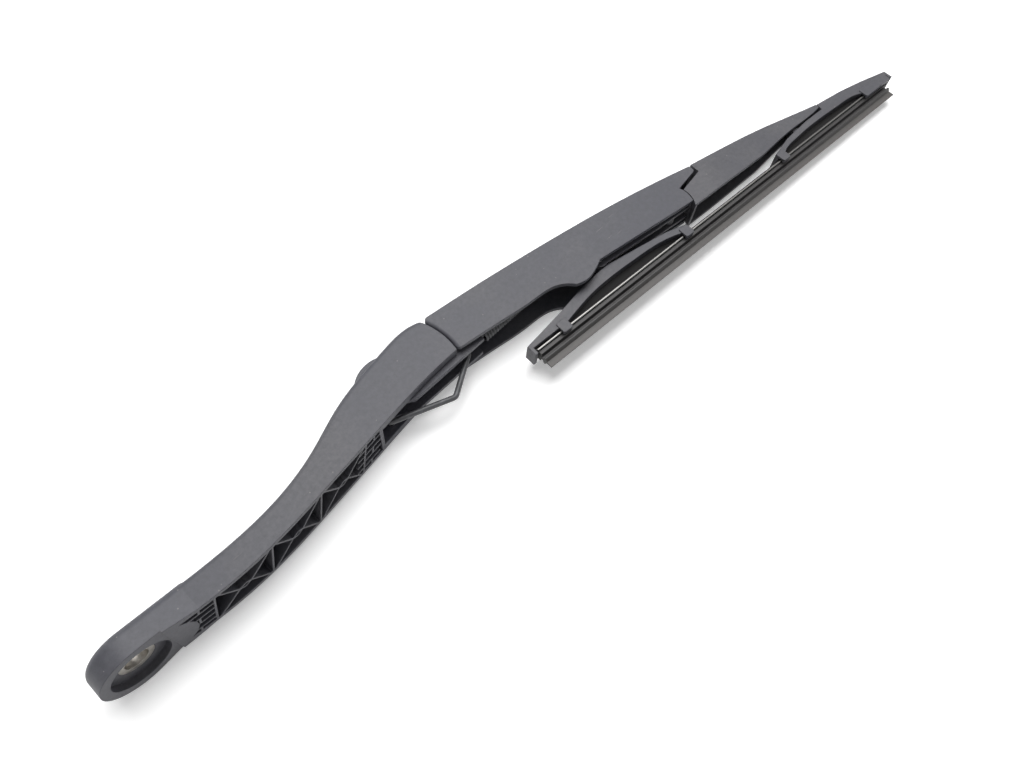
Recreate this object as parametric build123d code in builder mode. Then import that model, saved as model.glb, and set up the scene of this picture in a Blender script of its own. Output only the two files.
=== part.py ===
from build123d import *

import math
import os

# Rear wiper arm with its blade, in millimetres.
# X runs from the spindle to the blade's tip, +Y points away from the glass, Z is across the arm.
# The origin is on the spindle axis, at the glass-side face of the metal insert.

# Spindle boss
recess_depth = 3.5
recess_radius = 12.6
boss_radius = 16.9
boss_height = 11.7
boss_rounding = 4.0
boss_top_rounding = 3.8
boss_flare_end = 28.0
boss_under_start = 13.52
collar_radius = 12.0
insert_radius = 7.5
insert_length = 6.0
bore_radius = 5.0
nut_recess_radius = 8.6

# Mounting head: side outline measured up from the boss rim
head_half_width = 12.2
head_wall = 2.2
head_roof = 2.6
head_edge_rounding = 2.6
head_start = 13.5
head_top_line = [
    (25, 11.2),
    (50, 9.8),
    (75, 11.0),
    (100, 16.9),
    (120, 24.6),
    (140, 29.6),
    (156, 32.2),
    (169, 33.4),
]
head_top_start_height = 12.4
head_top_end_height = 31.8
head_under_line = [(150, 6.2), (120, 2.7), (90, -0.9), (55, -3.8), (28, -2.6)]
head_under_start_height = -0.8
head_under_end_height = 7.6

# Ribs on the glass side of the head
rib = 0.9
rib_lean = 0.22
lattice_start = 18.0
first_bay_start = 32.0
bay_length = 28.0
bay_count = 3
bay_core = 5.6
bay_core_height = 3.0
louvre_pitch = 4.6
louvre_count = 4
lattice_end = 127.0

# Hinge between the head and the arm
hinge_x = 143.0
hinge_y = 17.0
hinge_pin_radius = 2.5
head_end_radius = 37.7
hinge_gap = 0.7
pin_skin = 1.2
slot_half_width = 7.6
slot_clearance = 0.4
slot_start = 136.5
slot_lip_x = 146.0
slot_lip_radius = 17.0
slot_lip_rise = 3.0
pocket_start = 129.0
pocket_height = 24.0
ear = 2.4
hub_radius = 7.0
neck_roof = 3.0
neck_height = 30.8
neck_under = 4.6
neck_lead = 8.0
neck_tail = 15.0

# Running clearance of every pin in the piece that turns on it
running = 0.05
seat_clearance = 0.2

# Tension spring, its wire hook and their pins, all on one line above the rim
spring_line = 9.5
anchor_x = 138.5
anchor_pin_radius = 1.5
hook_wire_radius = 1.4
hook_dip = (166.0, -5.0)
hook_rise = (186.5, 6.6)
hook_bend = 3.0
hook_end_bend = 1.7
spring_wire_radius = 0.9
spring_radius = 4.0
spring_eye_radius = 3.0
spring_eye_x = 196.5
spring_end_x = 254.0

# Arm: side outline measured up from the boss rim
arm_half_width = 12.2
arm_end_half_width = 9.2
arm_taper_start = 215.0
arm_wall = 2.2
arm_roof = 2.4
arm_edge_rounding = 2.2
arm_top_line = [(228, 24.1), (266, 18.4), (295, 13.4), (322, 7.9)]
arm_top_start_height = 30.5
arm_under_start_height = 7.4
arm_under_line = [(206, 3.6), (224, 1.0), (240, -1.4)]
arm_skirt_line = [(248, -7.8), (256, -9.8), (262, -8.8), (269, -6.4)]
arm_under_end = (326.0, -15.0)
arm_cap_end = 356.0
arm_cap_top = -0.2
arm_cap_depth = 4.0
arm_cap_rounding = 1.8
arm_cap_heel = -6.2

# Pivot between the arm and the blade
pivot_x = 326.0
pivot_y = -9.5
pivot_pin_radius = 2.0
arm_end_radius = 13.0
arm_toe_share = 0.8
pivot_gap = 0.7

# Blade: along and height are measured from a point near the middle of the wiping edge
blade_x = 358.84
blade_y = -38.57
blade_tilt = -4.87
rubber_length = 300.0
lip_edge = -0.9

# Rubber section and its two spring strips
lip_half = 0.4
lip_height = 2.4
squeegee_half = 2.3
squeegee_height = 4.3
neck_half = 0.7
neck_low = 5.0
neck_high = 5.8
rubber_half = 2.8
flexor_height = 8.5
flexor_thickness = 0.8
flexor_half = 4.0
flexor_groove = 1.2
flexor_play = 0.05
rubber_head_half = 2.6
rubber_top = 10.6

# Claws that hold the strips, and the yokes that carry the claws
claw_length = 6.0
claw_play = 0.3
claw_wall = 1.2
claw_lip = 1.2
claw_rounding = 1.0
tip_claw_length = 25.0
yoke_half = 4.9
yoke_floor = 10.9
yoke_end_wall = 1.8
yoke_end_height = 7.4
inner_end_gap = 1.4
outer_end_gap = 5.0
yoke_web_half = 0.7
yoke_ear_half = 2.8
yoke_pin_radius = 1.2
inner_claws = (-131.1, -39.0)
outer_claws = (47.0, 141.0)
inner_pivot = (-89.0, 27.0)
outer_pivot = (72.0, 21.6)
inner_ear_radius = 2.4
outer_ear_radius = 2.3
ear_root = 4.0
inner_yoke_top = [(-128.6, 16.8), (-109, 20.4), (-94, 22.0), (-86, 21.8), (-66, 19.2), (-48, 16.6)]
outer_yoke_top = [(60, 17.0), (80, 18.6), (96.8, 18.6)]
outer_tip_top = [(97.8, 22.9), (119, 20.6), (137, 17.5)]
yoke_tip_height = 13.2
yoke_foot_height = 13.4
inner_arch = [(-47, 12.4), (-56, 14.2), (-72, 15.3), (-92, 15.7), (-108, 14.7), (-120, 12.6)]
outer_arch = [(54, 12.6), (64, 13.9), (76, 14.6), (92, 14.6), (110, 14.0), (124, 12.6)]

# Bridge that carries both yokes
bridge_half = 9.0
bridge_tip_half = 4.8
bridge_wall = 1.8
bridge_under = 17.0
bridge_under_line = [(88, 19.9), (66, 19.6), (49, 18.4), (36, 17.2)]
bridge_top_line = [(18.6, 35.6), (50, 31.6), (76, 27.0)]
bridge_tip = 97.0
bridge_tip_top = 23.3
bridge_tip_under = 20.8
bridge_step = 1.0
bridge_step_height = 38.0
cap_play = 2.0
beam_half = 4.6
beam_wall = 1.5
beam_top = 33.5
beam_inner_top = 31.3
beam_under = 20.2
beam_inner_under = 23.2
adapter_radius = 4.6
adapter_half = 3.0

# Work planes
side = Plane(origin=(0, -recess_depth, 0), x_dir=(1, 0, 0), z_dir=(0, 0, 1))
tilt = math.radians(blade_tilt)
blade_along = (math.cos(tilt), math.sin(tilt), 0)
blade_up = (-math.sin(tilt), math.cos(tilt), 0)
blade_origin = (blade_x, blade_y - recess_depth, 0)
blade = Plane(origin=blade_origin, x_dir=blade_along, z_dir=(0, 0, 1))
blade_plan = Plane(origin=blade_origin, x_dir=blade_along, z_dir=(-blade_up[0], -blade_up[1], 0))
blade_section = Plane(origin=blade_origin, x_dir=(0, 0, 1), z_dir=(-blade_along[0], -blade_along[1], 0))

hinge = (hinge_x, hinge_y)
pivot = (pivot_x, pivot_y)
anchor = (anchor_x, spring_line)
spring_end = (spring_end_x, spring_line)
far_below = -40.0
far_above = 60.0


def on_arc(centre, radius, height):
    """Point on the right of a circle at a given height."""
    rise = height - centre[1]
    return (centre[0] + math.sqrt(radius**2 - rise**2), height)


def to_blade(point):
    """Side-view point given along and up the blade."""
    dx = point[0] - blade_x
    dy = point[1] - blade_y
    return (
        dx * blade_along[0] + dy * blade_along[1],
        dx * blade_up[0] + dy * blade_up[1],
    )


def arc_middle(centre, start, end):
    """Point halfway along the shorter arc from start to end."""
    radius = math.dist(centre, start)
    middle = ((start[0] + end[0]) / 2 - centre[0], (start[1] + end[1]) / 2 - centre[1])
    length = math.hypot(*middle)
    return (centre[0] + middle[0] / length * radius, centre[1] + middle[1] / length * radius)


def lowered(points, depth):
    """Outline points moved down by a wall's thickness."""
    return [(x, y - depth) for x, y in points]


os.makedirs("parts", exist_ok=True)

# Outline corners that the pieces share
head_top_corner = on_arc(hinge, head_end_radius, head_top_end_height)
head_under_corner = on_arc(hinge, head_end_radius, head_under_end_height)
arm_start_radius = head_end_radius + hinge_gap
arm_top_corner = on_arc(hinge, arm_start_radius, arm_top_start_height)
arm_under_corner = on_arc(hinge, arm_start_radius, arm_under_start_height)
arm_heel = on_arc(pivot, arm_end_radius, arm_cap_heel)
arm_under_slope = (arm_under_end[1] - arm_skirt_line[-1][1]) / (arm_under_end[0] - arm_skirt_line[-1][0])
arm_toe = on_arc(pivot, arm_end_radius, arm_under_end[1] + arm_under_slope * arm_end_radius * arm_toe_share)
head_outline_top = [(head_start, head_top_start_height)] + head_top_line + [head_top_corner]
arm_outline_top = [arm_top_corner] + arm_top_line + [(arm_cap_end, arm_cap_top)]

# Cells between the ribs, open to the glass side

def leaned(point):
    """Plan point moved along the head in proportion to its distance across it."""
    return (point[0] + rib_lean * point[1], point[1])


bay_lines = []
for bay in range(bay_count):
    left = first_bay_start + bay * bay_length
    right = left + bay_length
    middle = (left + right) / 2
    for corner_x, core_x in ((left, middle - bay_core / 2), (right, middle + bay_core / 2)):
        for hand in (-1, 1):
            bay_lines.append(((corner_x, hand * head_half_width), (core_x, 0)))
            bay_lines.append(((core_x, 0), (middle, hand * bay_core_height / 2)))
    bay_lines.append(((right, -head_half_width), (right, head_half_width)))
bay_lines.append(((first_bay_start, -head_half_width), (first_bay_start, head_half_width)))
bays_end = first_bay_start + bay_count * bay_length
for block_start, block_end in ((lattice_start, first_bay_start), (bays_end, lattice_end)):
    block_middle = (block_start + block_end) / 2
    for row in range(louvre_count):
        row_z = (row - (louvre_count - 1) / 2) * louvre_pitch
        bay_lines.append(((block_start - louvre_pitch, row_z), (block_end, row_z)))
    for row in range(-1, 2):
        row_z = 2 * row * louvre_pitch
        bay_lines.append(((block_middle, row_z - louvre_pitch / 2), (block_middle, row_z + louvre_pitch / 2)))

with BuildPart() as cells:
    with BuildSketch(side):
        with BuildLine():
            roof_line = Spline(*lowered(head_outline_top, head_roof))
            Polyline(roof_line @ 1, ((roof_line @ 1).X, far_below), ((roof_line @ 0).X, far_below), roof_line @ 0)
        make_face()
    extrude(amount=head_half_width - head_wall, both=True)
    with BuildSketch(Plane.XZ):
        with Locations(((lattice_start + lattice_end) / 2, 0)):
            Rectangle(lattice_end - lattice_start, 2 * head_half_width)
    extrude(amount=far_above, both=True, mode=Mode.INTERSECT)
    with BuildSketch(Plane.XZ):
        for start, end in bay_lines:
            with BuildLine():
                Line(leaned(start), leaned(end))
            trace(line_width=rib)
        with Locations((collar_radius, 0)):
            Circle(collar_radius)
    extrude(amount=far_above, both=True, mode=Mode.SUBTRACT)

# Round boss that flares into the head
with BuildPart() as boss:
    with BuildSketch(Plane.XZ.offset(2 * recess_depth)):
        Circle(boss_radius)
        flare_offset = head_half_width - boss_rounding
        with Locations((boss_flare_end, flare_offset), (boss_flare_end, -flare_offset)):
            Circle(boss_rounding)
        make_hull()
    extrude(amount=-boss_height - recess_depth)
    fillet(boss.faces().sort_by(Axis.Y)[-1].edges(), radius=boss_top_rounding)
    with BuildSketch(side):
        with BuildLine():
            under = Spline(head_under_corner, *head_under_line, (head_start, head_under_start_height))
            Polyline(
                under @ 1,
                (boss_under_start, 0),
                (-2 * boss_radius, 0),
                (-2 * boss_radius, far_above),
                (head_under_corner[0], far_above),
                head_under_corner,
            )
        make_face()
    extrude(amount=far_above, both=True, mode=Mode.INTERSECT)

# Mounting head with its boss, ribs, hinge slot and pin holes
with BuildPart() as mounting_head:
    with BuildSketch(side):
        with BuildLine():
            top = Spline(*head_outline_top)
            end = ThreePointArc(top @ 1, on_arc(hinge, head_end_radius, hinge_y), head_under_corner)
            under = Spline(end @ 1, *head_under_line, (head_start, head_under_start_height))
            Line(under @ 1, top @ 0)
        make_face()
    extrude(amount=head_half_width, both=True)
    outer_edges = mounting_head.edges().filter_by(GeomType.BSPLINE).sort_by(Axis.Y)[-2:]
    fillet(outer_edges, radius=head_edge_rounding)
    add(boss.part)
    with BuildSketch(side):
        with Locations((slot_lip_x, head_top_line[-3][1] + slot_lip_rise - slot_lip_radius)):
            Circle(slot_lip_radius)
            below = (Align.CENTER, Align.MAX)
            Rectangle(2 * slot_lip_radius, slot_lip_radius, align=below, mode=Mode.SUBTRACT)
    extrude(amount=head_half_width - head_edge_rounding, both=True)
    add(cells.part, mode=Mode.SUBTRACT)
    with BuildSketch(side):
        with Locations((pocket_start, far_below)):
            Rectangle(slot_start - pocket_start, pocket_height - far_below, align=(Align.MIN, Align.MIN))
        with Locations((slot_start, far_below)):
            Rectangle(head_end_radius * 2, far_above - far_below, align=(Align.MIN, Align.MIN))
    extrude(amount=slot_half_width, both=True, mode=Mode.SUBTRACT)
    with BuildSketch(side):
        with BuildLine():
            Polyline(
                (0, far_below),
                (recess_radius, far_below),
                (recess_radius, recess_depth),
                (insert_radius, recess_depth),
                (insert_radius, recess_depth + insert_length),
                (nut_recess_radius, recess_depth + insert_length),
                (nut_recess_radius, far_above),
                (0, far_above),
                close=True,
            )
        make_face()
    revolve(axis=Axis.Y, mode=Mode.SUBTRACT)
    with BuildSketch(side.offset(-head_half_width)):
        with Locations(hinge):
            Circle(hinge_pin_radius)
        with Locations(anchor):
            Circle(anchor_pin_radius)
    extrude(amount=2 * head_half_width - pin_skin, mode=Mode.SUBTRACT)
mounting_head.part.label = "mounting_head"
export_step(mounting_head.part, "parts/mounting_head.step")

# Metal insert with the spindle bore
with BuildPart() as spindle_insert:
    with BuildSketch(side):
        with Locations((bore_radius, recess_depth)):
            Rectangle(insert_radius - bore_radius, insert_length, align=(Align.MIN, Align.MIN))
    revolve(axis=Axis.Y)
spindle_insert.part.label = "spindle_insert"
export_step(spindle_insert.part, "parts/spindle_insert.step")


def cross_pin(plane, centre, radius, low, high):
    """Round pin across the arm, from one depth to another."""
    with BuildPart() as pin:
        with BuildSketch(plane.offset(low)):
            with Locations(centre):
                Circle(radius)
        extrude(amount=high - low)
    return pin


hinge_pin = cross_pin(side, hinge, hinge_pin_radius, -head_half_width + pin_skin, head_half_width - pin_skin)
hinge_pin.part.label = "hinge_pin"
export_step(hinge_pin.part, "parts/hinge_pin.step")

anchor_pin = cross_pin(side, anchor, anchor_pin_radius, -head_half_width + pin_skin, head_half_width - pin_skin)
anchor_pin.part.label = "spring_anchor_pin"
export_step(anchor_pin.part, "parts/spring_anchor_pin.step")


def arm_half_at(x):
    """Half width of the arm's tapering plan."""
    share = max(0.0, (x - arm_taper_start) / (pivot_x + arm_end_radius - arm_taper_start))
    return arm_half_width + share * (arm_end_half_width - arm_half_width)


def arm_plan(inset):
    """Plan outline of the arm, drawn in by a wall's thickness."""
    start = hinge_x
    stations = (start, arm_taper_start, arm_cap_end + pivot_gap)
    upper = [(x, arm_half_at(x) - inset) for x in stations]
    lower = [(x, -half) for x, half in reversed(upper)]
    with BuildSketch(Plane.XZ) as plan:
        with BuildLine():
            Polyline(*upper, *lower, close=True)
        make_face()
    return plan


# Hollow of the arm's channel, open to the glass side and at both ends
with BuildPart() as arm_hollow:
    with BuildSketch(side):
        with BuildLine():
            roof_line = Spline(*lowered(arm_outline_top, arm_roof))
            Polyline(
                roof_line @ 1,
                ((roof_line @ 1).X, far_below),
                (hinge_x, far_below),
                (hinge_x, (roof_line @ 0).Y),
                roof_line @ 0,
            )
        make_face()
    extrude(amount=arm_half_width, both=True)
    extrude(arm_plan(arm_wall).sketch, amount=far_above, both=True, mode=Mode.INTERSECT)

# Neck that carries the hub between the head's walls
neck_half_width = slot_half_width - slot_clearance
with BuildPart() as neck:
    with BuildSketch(side):
        with Locations(hinge):
            Circle(hub_radius)
        with Locations((hinge_x + neck_lead, neck_under + hub_radius / 2)):
            Circle(hub_radius / 2)
        with Locations((hinge_x + neck_lead + hub_radius / 2, neck_height - hub_radius / 2)):
            Circle(hub_radius / 2)
        make_hull()
        with BuildLine():
            Polyline(
                (hinge_x + neck_lead, neck_under),
                (arm_under_corner[0] + neck_tail, neck_under),
                (arm_under_corner[0] + neck_tail, arm_top_start_height - arm_roof - hub_radius / 2),
                (arm_top_corner[0] + arm_roof, arm_top_start_height - arm_roof),
                (arm_top_corner[0] + hinge_gap, arm_top_start_height - arm_roof / 2),
                (arm_top_corner[0] - hinge_gap, neck_height),
                (hinge_x + neck_lead + hub_radius / 2, neck_height),
                close=True,
            )
        make_face()
    extrude(amount=neck_half_width, both=True)
    with BuildSketch(side):
        with Locations((hinge_x - 2 * hub_radius, far_below)):
            Rectangle(
                arm_under_corner[0] + 2 * neck_tail - hinge_x + 2 * hub_radius,
                neck_height - neck_roof - far_below,
                align=(Align.MIN, Align.MIN),
            )
    extrude(amount=neck_half_width - ear, both=True, mode=Mode.SUBTRACT)

# Arm: tapering channel with the neck, the cap over the blade and the skirt over the inner yoke
with BuildPart() as arm:
    with BuildSketch(side):
        with BuildLine():
            top = Spline(*arm_outline_top)
            cap_under = (arm_cap_end, arm_cap_top - arm_cap_depth)
            FilletPolyline(top @ 1, cap_under, arm_heel, radius=arm_cap_rounding)
            toe_arc = ThreePointArc(arm_heel, arc_middle(pivot, arm_heel, arm_toe), arm_toe)
            Polyline(toe_arc @ 1, arm_under_end, arm_skirt_line[-1])
            skirt = Spline(*reversed(arm_skirt_line))
            under = Spline(skirt @ 1, *reversed(arm_under_line), arm_under_corner)
            ThreePointArc(under @ 1, on_arc(hinge, arm_start_radius, hinge_y), top @ 0)
        make_face()
    extrude(amount=arm_half_width, both=True)
    extrude(arm_plan(0).sketch, amount=far_above, both=True, mode=Mode.INTERSECT)
    outer_edges = arm.faces().sort_by(Axis.Y)[-1].edges().sort_by(SortBy.LENGTH)[-4:]
    fillet(outer_edges, radius=arm_edge_rounding)
    add(arm_hollow.part, mode=Mode.SUBTRACT)
    add(neck.part)
    with BuildSketch(side.offset(-arm_half_width)):
        with Locations(hinge):
            Circle(hinge_pin_radius + running)
    extrude(amount=2 * arm_half_width, mode=Mode.SUBTRACT)
    with BuildSketch(side.offset(-arm_half_at(spring_end_x))):
        with Locations(spring_end):
            Circle(anchor_pin_radius)
    extrude(amount=2 * arm_half_at(spring_end_x) - pin_skin, mode=Mode.SUBTRACT)
    with BuildSketch(side.offset(-arm_half_at(pivot_x))):
        with Locations(pivot):
            Circle(pivot_pin_radius)
    extrude(amount=2 * arm_half_at(pivot_x) - pin_skin, mode=Mode.SUBTRACT)
arm.part.label = "arm"
export_step(arm.part, "parts/arm.step")

spring_pin_half = arm_half_at(spring_end_x) - pin_skin
spring_pin = cross_pin(side, spring_end, anchor_pin_radius, -spring_pin_half, spring_pin_half)
spring_pin.part.label = "spring_end_pin"
export_step(spring_pin.part, "parts/spring_end_pin.step")

pivot_pin_half = arm_half_at(pivot_x) - pin_skin
pivot_pin = cross_pin(side, pivot, pivot_pin_radius, -pivot_pin_half, pivot_pin_half)
pivot_pin.part.label = "blade_pivot_pin"
export_step(pivot_pin.part, "parts/blade_pivot_pin.step")

# Wire hook: an eye round the anchor pin, a dip under the hinge and a hooked end in the spring's eye
eye_radius = anchor_pin_radius + seat_clearance + hook_wire_radius
dip_distance = math.dist(anchor, hook_dip)
dip_angle = math.degrees(math.atan2(hook_dip[1] - anchor[1], hook_dip[0] - anchor[0]))
eye_end_angle = dip_angle - math.degrees(math.acos(eye_radius / dip_distance)) + 360
eye_start_angle = 20.0
hook_reach = spring_wire_radius + hook_wire_radius + seat_clearance
eye_bar_x = spring_eye_x - spring_eye_radius
hook_over = spring_line + hook_reach
with BuildPart() as spring_hook:
    with BuildLine() as hook_path:
        eye = CenterArc(anchor, eye_radius, eye_start_angle, eye_end_angle - eye_start_angle)
        FilletPolyline(
            eye @ 1,
            hook_dip,
            hook_rise,
            (eye_bar_x - hook_reach, hook_over),
            (eye_bar_x + hook_reach, hook_over),
            (eye_bar_x + hook_reach, spring_line - hook_reach),
            radius=(hook_bend, hook_bend, hook_end_bend, hook_end_bend),
        )
    with BuildSketch(Plane(origin=eye @ 0, z_dir=eye % 0)):
        Circle(hook_wire_radius)
    sweep(path=hook_path.wires()[0])
    spring_hook.part.position = side.origin
spring_hook.part.label = "spring_hook"
export_step(spring_hook.part, "parts/spring_hook.step")

# Tension spring: a plain bar in place of the coils, between two eyes
end_eye_radius = anchor_pin_radius + seat_clearance + spring_wire_radius
coil_start = spring_eye_x + spring_eye_radius
coil_end = spring_end_x - end_eye_radius
with BuildPart() as tension_spring:
    with BuildSketch(Plane.YZ.offset(coil_start)):
        with Locations((spring_line - recess_depth, 0)):
            Circle(spring_radius)
    extrude(amount=coil_end - coil_start)
    with BuildSketch(Plane.XZ.offset(recess_depth - spring_line)):
        with Locations((spring_eye_x, 0)):
            Circle(spring_eye_radius + spring_wire_radius)
            Circle(spring_eye_radius - spring_wire_radius, mode=Mode.SUBTRACT)
    extrude(amount=spring_wire_radius, both=True)
    with BuildSketch(side):
        with Locations(spring_end):
            Circle(end_eye_radius + spring_wire_radius)
            Circle(end_eye_radius - spring_wire_radius, mode=Mode.SUBTRACT)
    extrude(amount=spring_wire_radius, both=True)
tension_spring.part.label = "tension_spring"
export_step(tension_spring.part, "parts/tension_spring.step")

# Bridge: wide shell flush with the arm, and a narrow beam inside the arm's channel
pivot_blade = to_blade(pivot)
nose_radius = arm_end_radius + pivot_gap
cap_heel_blade = to_blade(arm_heel)
cap_end_blade = to_blade((arm_cap_end, arm_cap_top - arm_cap_depth))
nose_top = on_arc(pivot_blade, nose_radius, cap_heel_blade[1] - cap_play)
nose_under = on_arc(pivot_blade, nose_radius, bridge_under)
step_foot = (cap_end_blade[0] + bridge_step, cap_end_blade[1] - cap_play)
step_top = (cap_end_blade[0] + bridge_step, bridge_step_height)


def bridge_plan(inset):
    """Plan outline of the bridge's shell, drawn in by a wall's thickness."""
    start = pivot_blade[0]
    half = bridge_half - inset
    tip_half = bridge_tip_half - inset
    with BuildSketch(blade_plan) as plan:
        with BuildLine():
            Polyline(
                (start, half),
                (step_top[0], half),
                (bridge_tip, tip_half),
                (bridge_tip, -tip_half),
                (step_top[0], -half),
                (start, -half),
                close=True,
            )
        make_face()
    return plan


with BuildPart() as bridge_hollow:
    with BuildSketch(blade):
        with BuildLine():
            inner_nose = nose_radius + bridge_wall
            nose_start = on_arc(pivot_blade, inner_nose, nose_top[1] - bridge_wall)
            nose_end = on_arc(pivot_blade, inner_nose, bridge_under)
            step_in = (step_foot[0] + bridge_wall, step_foot[1] - bridge_wall)
            roof_points = [(step_in[0], bridge_step_height)] + bridge_top_line + [(bridge_tip, bridge_tip_top)]
            roof = Spline(*lowered(roof_points, bridge_wall))
            nose = ThreePointArc(nose_start, arc_middle(pivot_blade, nose_start, nose_end), nose_end)
            Polyline(nose @ 0, step_in, roof @ 0)
            Polyline(roof @ 1, ((roof @ 1).X, far_below), (nose_end[0], far_below), nose @ 1)
        make_face()
    extrude(amount=bridge_half, both=True)
    extrude(bridge_plan(bridge_wall).sketch, amount=far_above, both=True, mode=Mode.INTERSECT)

with BuildPart() as beam:
    with BuildSketch(blade) as beam_profile:
        with Locations(inner_pivot):
            Circle(beam_inner_top - inner_pivot[1])
        with BuildLine():
            Polyline(
                (inner_pivot[0], beam_inner_top),
                (pivot_blade[0] - arm_end_radius, beam_top),
                (nose_top[0], beam_top - bridge_wall),
                (nose_top[0] + bridge_wall, nose_top[1] - bridge_wall / 2),
                (nose_top[0] + bridge_wall, beam_under),
                (nose_under[0], beam_under),
                (inner_pivot[0], beam_inner_under),
                close=True,
            )
        make_face()
    extrude(amount=beam_half, both=True)
    with BuildSketch(blade):
        with BuildLine():
            Polyline(
                (inner_pivot[0] - 2 * beam_half, beam_inner_top - beam_wall),
                (inner_pivot[0], beam_inner_top - beam_wall),
                (pivot_blade[0] - arm_end_radius, beam_top - beam_wall),
                (nose_top[0] - beam_wall, beam_top - bridge_wall - beam_wall),
                (nose_top[0] - beam_wall, far_below),
                (inner_pivot[0] - 2 * beam_half, far_below),
                close=True,
            )
        make_face()
    extrude(amount=beam_half - beam_wall, both=True, mode=Mode.SUBTRACT)

with BuildPart() as bridge:
    with BuildSketch(blade):
        with BuildLine():
            top = Spline(step_top, *bridge_top_line, (bridge_tip, bridge_tip_top))
            Line(top @ 1, (bridge_tip, bridge_tip_under))
            under = Spline((bridge_tip, bridge_tip_under), *bridge_under_line)
            Polyline(under @ 1, (step_top[0], bridge_under), nose_under)
            nose = ThreePointArc(nose_under, arc_middle(pivot_blade, nose_under, nose_top), nose_top)
            Polyline(nose @ 1, step_foot, step_top)
        make_face()
    extrude(amount=bridge_half, both=True)
    extrude(bridge_plan(0).sketch, amount=far_above, both=True, mode=Mode.INTERSECT)
    add(bridge_hollow.part, mode=Mode.SUBTRACT)
    add(beam.part)
    with BuildSketch(blade.offset(-beam_half)):
        with Locations(inner_pivot):
            Circle(yoke_pin_radius)
        with Locations(pivot_blade):
            Circle(pivot_pin_radius + 2 * running)
    extrude(amount=2 * beam_half, mode=Mode.SUBTRACT)
    with BuildSketch(blade.offset(-bridge_half)):
        with Locations(outer_pivot):
            Circle(yoke_pin_radius)
    extrude(amount=bridge_half + beam_half, mode=Mode.SUBTRACT)
bridge.part.label = "bridge"
export_step(bridge.part, "parts/bridge.step")

# Adapter: sleeve on the pivot pin, snapped into the beam
with BuildPart() as blade_adapter:
    with BuildSketch(blade.offset(-adapter_half)):
        with Locations(pivot_blade):
            Circle(adapter_radius)
            Circle(pivot_pin_radius + running, mode=Mode.SUBTRACT)
    extrude(amount=2 * adapter_half)
blade_adapter.part.label = "blade_adapter"
export_step(blade_adapter.part, "parts/blade_adapter.step")

inner_pin = cross_pin(blade, inner_pivot, yoke_pin_radius, -beam_half, beam_half)
inner_pin.part.label = "inner_yoke_pin"
export_step(inner_pin.part, "parts/inner_yoke_pin.step")

outer_pin = cross_pin(blade, outer_pivot, yoke_pin_radius, -beam_half, beam_half)
outer_pin.part.label = "outer_yoke_pin"
export_step(outer_pin.part, "parts/outer_yoke_pin.step")


def make_yoke(top_points, arch_points, claws, end_claw_length, end, pivot_point, ear_radius):
    """Claw carrier: arched beam, two claws, an end wall and a pivot ear."""
    outward = math.copysign(1, end)
    inner_claw = min(claws, key=abs)
    outer_claw = max(claws, key=abs)
    inner_end = (inner_claw - outward * claw_length / 2, yoke_floor)
    outer_end = (end, yoke_floor)
    claw_inside = flexor_half + claw_play
    claw_outside = claw_inside + claw_wall
    lip_top = flexor_height - claw_play
    arch = sorted(arch_points, key=lambda point: abs(point[0]))
    claw_sizes = ((inner_claw, claw_length), (outer_claw, end_claw_length))
    with BuildPart() as yoke:
        with BuildSketch(blade):
            with BuildLine():
                Polyline(*top_points, outer_end)
                inner_hip = (inner_claw + outward * claw_length / 2, yoke_floor)
                outer_hip = (outer_claw - outward * end_claw_length / 2, yoke_floor)
                curve = Spline(inner_hip, *arch, outer_hip)
                Line(curve @ 1, outer_end)
                Polyline(inner_hip, inner_end, top_points[0])
            make_face()
        extrude(amount=yoke_half, both=True)
        with BuildSketch(blade):
            with BuildLine():
                Polyline(inner_hip, *lowered(arch, -claw_wall), outer_hip, close=True)
            make_face()
        extrude(amount=yoke_web_half, both=True)
        with BuildSketch(blade):
            with Locations((end - outward * yoke_end_wall / 2, (yoke_end_height + yoke_floor) / 2)):
                Rectangle(yoke_end_wall, yoke_floor - yoke_end_height)
        extrude(amount=yoke_half, both=True)
        with BuildSketch(blade):
            for claw, length in claw_sizes:
                claw_height = yoke_foot_height - lip_top + claw_lip
                with Locations((claw, lip_top - claw_lip + claw_height / 2)):
                    RectangleRounded(length, claw_height, claw_rounding)
        extrude(amount=claw_outside, both=True)
        with BuildSketch(blade):
            for claw, length in claw_sizes:
                with Locations((claw, lip_top)):
                    Rectangle(length, yoke_floor - lip_top, align=(Align.CENTER, Align.MIN))
        extrude(amount=claw_inside, both=True, mode=Mode.SUBTRACT)
        with BuildSketch(blade):
            for claw, length in claw_sizes:
                with Locations((claw, lip_top - claw_lip)):
                    Rectangle(length, claw_lip, align=(Align.CENTER, Align.MIN))
        extrude(amount=rubber_half + claw_play, both=True, mode=Mode.SUBTRACT)
        with BuildSketch(blade):
            with Locations(pivot_point):
                Circle(ear_radius)
            with Locations((pivot_point[0], pivot_point[1] - ear_root)):
                Circle(ear_radius)
            make_hull()
        extrude(amount=yoke_ear_half, both=True)
        with BuildSketch(blade.offset(-yoke_half)):
            with Locations(pivot_point):
                Circle(yoke_pin_radius + running)
        extrude(amount=2 * yoke_half, mode=Mode.SUBTRACT)
    return yoke


half_length = rubber_length / 2
inner_reach = -half_length - inner_end_gap - yoke_end_wall
outer_reach = half_length + outer_end_gap + yoke_end_wall

inner_top = [(inner_claws[1] + claw_length / 2, yoke_foot_height)] + inner_yoke_top[::-1]
inner_top.append((inner_reach, yoke_tip_height))
inner_yoke = make_yoke(
    inner_top,
    inner_arch,
    inner_claws,
    claw_length,
    inner_reach,
    inner_pivot,
    inner_ear_radius,
)
inner_yoke.part.label = "inner_yoke"
export_step(inner_yoke.part, "parts/inner_yoke.step")

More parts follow.
